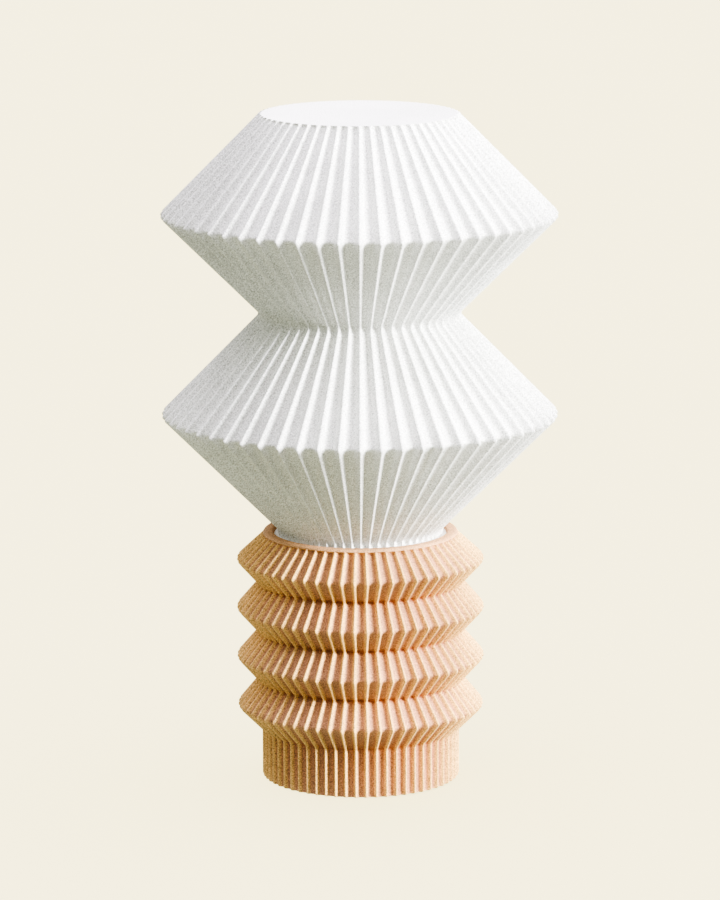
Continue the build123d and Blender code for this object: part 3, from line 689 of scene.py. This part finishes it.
bezel = [(4.3, 47.0), (4.3, 58.9), (4.4, 59.25), (4.75, 59.5), (6.5, 59.5), (7.0, 59.3), (7.2, 58.9), (7.2, 58.0),
         (5.8, 58.0), (5.8, 41.0), (5.4, 40.5), (0.0, 40.5)]
bezel = [(0.0, 47.0)] + bezel
switch = lathe("switch_bezel_and_barrel", bezel, 96, axis="Y", at=(SWITCH_X, 0, PORT_Z))
tabs = [prism("tab", rounded_rect(0.8, 4.6, 0.2, 2), 35.0, 40.9, (SWITCH_X + x, PORT_Z)) for x in (-3.0, 3.0)]
switch = join("switch_case", [switch] + tabs)
wear(switch, black_plastic, "black_plastic", "root", "switch_body")

cap_line = [(0, 49.6), (4.0, 49.6), (4.22, 49.8), (4.22, 61.2), (4.12, 61.6), (3.85, 61.88), (3.45, 62.0),
            (2.9, 61.97), (1.6, 61.8), (0, 61.72)]
button = lathe("switch_push_button", cap_line, 96, axis="Y", at=(SWITCH_X, 0, PORT_Z))
wear(button, black_plastic, "black_plastic", "button", "switch_button")

# ---------------------------------------------------------------------------
# threads
# ---------------------------------------------------------------------------


def thread(pitch, sharpness=1.0):
    """Right-hand thread: 0 at the crest, -1 at the root."""
    def wave(t, z):
        c = np.cos((z / pitch) * 2 * math.pi - t)
        return (np.sign(c) * np.abs(c) ** sharpness - 1) / 2
    return wave


def turned_levels(r, z0, z1, depth, step, fade):
    """Levels of a threaded stretch; the thread dies out over fade at each end."""
    n = max(2, int(math.ceil((z1 - z0) / step)))
    out = []
    for k in range(n + 1):
        z = z0 + (z1 - z0) * k / n
        e = min(z - z0, z1 - z) / fade
        e = max(0.0, min(1.0, e))
        out.append((r, z, depth * e * e * (3 - 2 * e)))
    return out


E27 = 25.4 / 7
cap_profile = [(12.1, 174.9), (12.35, 175.0)]
cap_profile += [(12.9, 175.7, 0)] + turned_levels(13.2, 176.4, 195.6, 0.85, E27 / 14, 1.6)
cap_profile += [(13.15, 196.4), (13.15, 196.9), (12.9, 197.0), (12.72, 196.8), (12.0, 190.0), (12.0, 176.0), (11.6, 175.5)]
screw_cap = lathe("bulb_cap_threaded", cap_profile, 96, 60.0, thread(E27), "Z")
wear(screw_cap, nickel, "cap_aluminium", "bulb", "bulb_screw_cap")

sleeve_profile = turned_levels(14.0, 168.6, 189.4, -0.42, E27 / 14, 1.2)
# the bore's crest is its smallest radius, where the cap's root lies
sleeve_in = [(13.97, 168.0)] + [(13.97, z, abs(d)) for r, z, d in sleeve_profile] + [(13.97, 190.0)]
sleeve_out = [(14.3, 190.0)] + [(14.3, z, 0.3 * abs(d)) for r, z, d in reversed(sleeve_profile)] + [(14.3, 168.0)]
sleeve = lathe("holder_sleeve_threaded", sleeve_in + sleeve_out, 96, 60.0, thread(E27), "Z")
wear(sleeve, brass, "brass", "root", "holder_screw_sleeve")

tube_out = turned_levels(4.95, 132.9, 150.6, 0.32, 1.0 / 8, 0.6)
tube_profile = [(4.6, 132.5)] + tube_out + [(4.6, 151.0), (3.7, 151.0), (3.5, 150.8), (3.5, 132.7), (3.7, 132.5)]
tube = lathe("holder_tube_threaded", tube_profile, 64, 60.0, thread(1.0), "Z")
wear(tube, zinc, "bright_steel", "root", "threaded_tube")

# ---------------------------------------------------------------------------
# lampholder
# ---------------------------------------------------------------------------


def flutes(count):
    def wave(t, z):
        return -np.maximum(0.0, np.cos(t * count)) ** 0.7
    return wave


skirt = [(17.5, 160.0), (19.3, 160.0), (19.5, 160.2), (19.68, 161.0), (19.7, 162.4, 0.0), (19.7, 163.0, 0.35),
         (19.7, 163.8, 0.6), (19.7, 183.0, 0.6), (19.7, 183.8, 0.35), (19.7, 184.4, 0.0), (19.7, 186.0),
         (20.1, 186.3), (21.0, 186.9), (21.2, 187.3), (21.2, 189.2), (21.0, 189.6), (20.1, 190.2), (19.7, 190.5),
         (19.6, 193.2), (19.3, 193.8), (18.7, 194.0), (14.3, 194.0), (13.9, 193.8), (13.8, 193.4), (13.8, 190.0),
         (17.5, 190.0)]
skirt = lathe("holder_skirt_fluted", skirt, 288, 40.0, flutes(36), "Z")
wear(skirt, holder_white, "holder_white", "root", "holder_skirt")

cap = [(5.0, 143.5), (12.6, 143.5), (13.1, 143.7), (17.1, 146.7), (17.4, 147.1), (19.2, 151.6, 0.0),
       (19.32, 152.2, 0.35), (19.4, 153.0, 0.6), (19.5, 158.4, 0.6), (19.5, 159.0, 0.35), (19.5, 159.5, 0.0),
       (19.5, 159.8), (19.3, 160.0), (17.5, 160.0), (17.5, 156.0), (15.6, 156.0), (15.6, 152.0), (14.0, 149.5),
       (5.0, 149.5)]
cap = lathe("holder_cap_fluted", cap, 288, 40.0, flutes(36), "Z")
wear(cap, holder_white, "holder_white", "root", "holder_cap")

# ---------------------------------------------------------------------------
# bulb
# ---------------------------------------------------------------------------
tip = [(0, 170.05), (1.6, 170.06), (2.6, 170.15), (3.5, 170.4), (4.2, 170.75), (4.6, 171.2), (4.7, 171.6), (0, 171.6)]
tip = lathe("bulb_tip_button", tip, 64)
wear(tip, brass, "brass", "bulb_tip", "bulb_tip_contact")

glass = [(0, 171.6), (5.9, 171.6), (6.3, 171.7), (9.6, 173.6), (11.5, 174.7), (11.5, 174.9), (0, 174.9)]
glass = lathe("bulb_cap_glass_ring", glass, 96)
wear(glass, cap_glass, "cap_glass", "bulb", "bulb_cap_insulator")

seat_r = math.sqrt(30.0 ** 2 - 10.0 ** 2)


def smooth_line(points, n):
    """Catmull-Rom curve through points."""
    p = [np.asarray(q, float) for q in points]
    p = [2 * p[0] - p[1]] + p + [2 * p[-1] - p[-2]]
    out = []
    for i in range(1, len(p) - 2):
        for k in range(n):
            t = k / n
            out.append(tuple(0.5 * ((2 * p[i]) + (p[i + 1] - p[i - 1]) * t
                                    + (2 * p[i - 1] - 5 * p[i] + 4 * p[i + 1] - p[i + 2]) * t * t
                                    + (3 * p[i] - p[i - 1] - 3 * p[i + 1] + p[i + 2]) * t ** 3)))
    out.append(tuple(p[-2]))
    return out


flare = smooth_line([(14.4, 199.0), (14.9, 203.0), (18.6, 216.0), (24.9, 230.0), (28.05, 239.4)], 8)
house = [(0, 178.0), (12.3, 178.0), (12.65, 178.4), (12.65, 196.9), (12.8, 197.05), (14.0, 197.1), (14.35, 197.4)]
house += [(14.4, 198.2)] + flare
house += [(28.1, 239.7), (27.9, 239.95), (26.6, 239.95), (26.6, 238.4), (23.6, 238.4), (22.4, 231.5), (16.6, 217.5),
          (10.6, 203.0), (10.6, 184.0), (0, 184.0)]
housing = lathe("bulb_flared_housing", house, 128, 40.0)
wear(housing, bulb_white, "bulb_plastic", "bulb", "bulb_housing")

dome = []
start = math.asin(-9.6 / 29.9)
for k in range(41):
    a = start + (math.pi / 2 - start) * k / 40
    dome.append((29.9 * math.cos(a) if k < 40 else 0.0, 250.0 + 29.9 * math.sin(a)))
inside = []
start_in = math.asin(-9.95 / 28.5)
for k in range(31):
    a = start_in + (math.pi / 2 - start_in) * k / 30
    inside.append((28.5 * math.cos(a) if k < 30 else 0.0, 250.0 + 28.5 * math.sin(a)))
globe_line = [inside[-1]] + list(reversed(inside[:-1])) + [(27.0, 240.0), (28.1, 240.0), (28.25, 240.15)] + dome
globe = lathe("bulb_opal_dome", globe_line, 128, 40.0)
wear(globe, opal, "bulb_opal", "bulb", "bulb_globe")

# ---------------------------------------------------------------------------
# finishes for the pieces that keep their own shape
# ---------------------------------------------------------------------------
FINISH = {
    "bottom_cover": powder, "cover_screws": zinc, "ballast_disc": zinc, "inlet_pins": brass, "switch_nut": zinc,
    "tube_washer": zinc, "tube_nut": zinc, "holder_insulator": porcelain, "holder_terminal_screws": brass,
    "holder_centre_contact": brass, "bulb_led_board": board, "lead_neutral": lead_blue, "lead_live": lead_brown,
    "lead_link": lead_brown,
}
for node, material in FINISH.items():
    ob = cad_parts[node]
    if not ob.material_slots:
        ob.data.materials.append(material)
    for s in ob.material_slots:
        s.material = material

# ---------------------------------------------------------------------------
# floor and light
# ---------------------------------------------------------------------------
floor = finish_mesh("floor", [(-45000, -45000, 0), (45000, -45000, 0), (45000, 45000, 0), (-45000, 45000, 0)],
                    [(0, 1, 2, 3)], 0)
k = Nodes("pale_floor")
wide = k.noise(3.0, 2.0, 0.5)
k.link(colour_mix(k, k.span(wide, 0.3, 0.7, 0.0, 1.0), (0.195, 0.187, 0.147), (0.205, 0.195, 0.153)),
       k.shader.inputs["Base Color"])
k.link(k.span(wide, 0.3, 0.7, 0.9, 0.95), k.shader.inputs["Roughness"])
k.shader.inputs["Specular IOR Level"].default_value = 0.0
k.shader.inputs["Emission Color"].default_value = (1.0, 0.89, 0.487, 1.0)
k.shader.inputs["Emission Strength"].default_value = 1.91
floor.data.materials.append(k.material)
floor.visible_diffuse = False

# low key light from the right, which the floor doesn't take, so that it throws no long shadow
sun_data = bpy.data.lights.new("key_light", "SUN")
sun_data.energy = 11.6
sun_data.angle = math.radians(20.0)
sun_data.color = (1.0, 0.985, 0.97)
sun = bpy.data.objects.new("key_light", sun_data)
bpy.context.scene.collection.objects.link(sun)
az, el = math.radians(62.5), math.radians(17.5)
to_sun = Vector((math.sin(az) * math.cos(el), -math.cos(az) * math.cos(el), math.sin(el)))
sun.location = to_sun * 4
sun.rotation_euler = to_sun.to_track_quat("Z", "Y").to_euler()
unlit = bpy.data.collections.new("not_lit_by_key")
unlit.objects.link(floor)
unlit.collection_objects[0].light_linking.link_state = "EXCLUDE"
sun.light_linking.receiver_collection = unlit

# soft surround: cool from above and a little behind, dimmer and greener from below
world = bpy.data.worlds.new("studio")
bpy.context.scene.world = world
world.use_nodes = True
tree = world.node_tree
back = tree.nodes["Background"]
way = tree.nodes.new("ShaderNodeTexCoord")
along = tree.nodes.new("ShaderNodeVectorMath")
along.operation = "DOT_PRODUCT"
tree.links.new(way.outputs["Generated"], along.inputs[0])
along.inputs[1].default_value = (0.05, 0.17, 0.98)
rise = tree.nodes.new("ShaderNodeMapRange")
rise.inputs["From Min"].default_value = 0.0
rise.inputs["From Max"].default_value = 1.0
tree.links.new(along.outputs["Value"], rise.inputs["Value"])
steep = tree.nodes.new("ShaderNodeMath")
steep.operation = "POWER"
steep.inputs[1].default_value = 3.0
tree.links.new(rise.outputs["Result"], steep.inputs[0])
blend = tree.nodes.new("ShaderNodeMix")
blend.data_type = "RGBA"
tree.links.new(steep.outputs[0], blend.inputs[0])
blend.inputs[6].default_value = (0.465, 0.492, 0.378, 1.0)
blend.inputs[7].default_value = (4.90, 4.52, 5.15, 1.0)
tree.links.new(blend.outputs[2], back.inputs["Color"])
back.inputs["Strength"].default_value = 1.0

bpy.context.scene.view_settings.view_transform = "AgX"
bpy.context.scene.view_settings.look = "AgX - High Contrast"

bpy.context.view_layer.update()
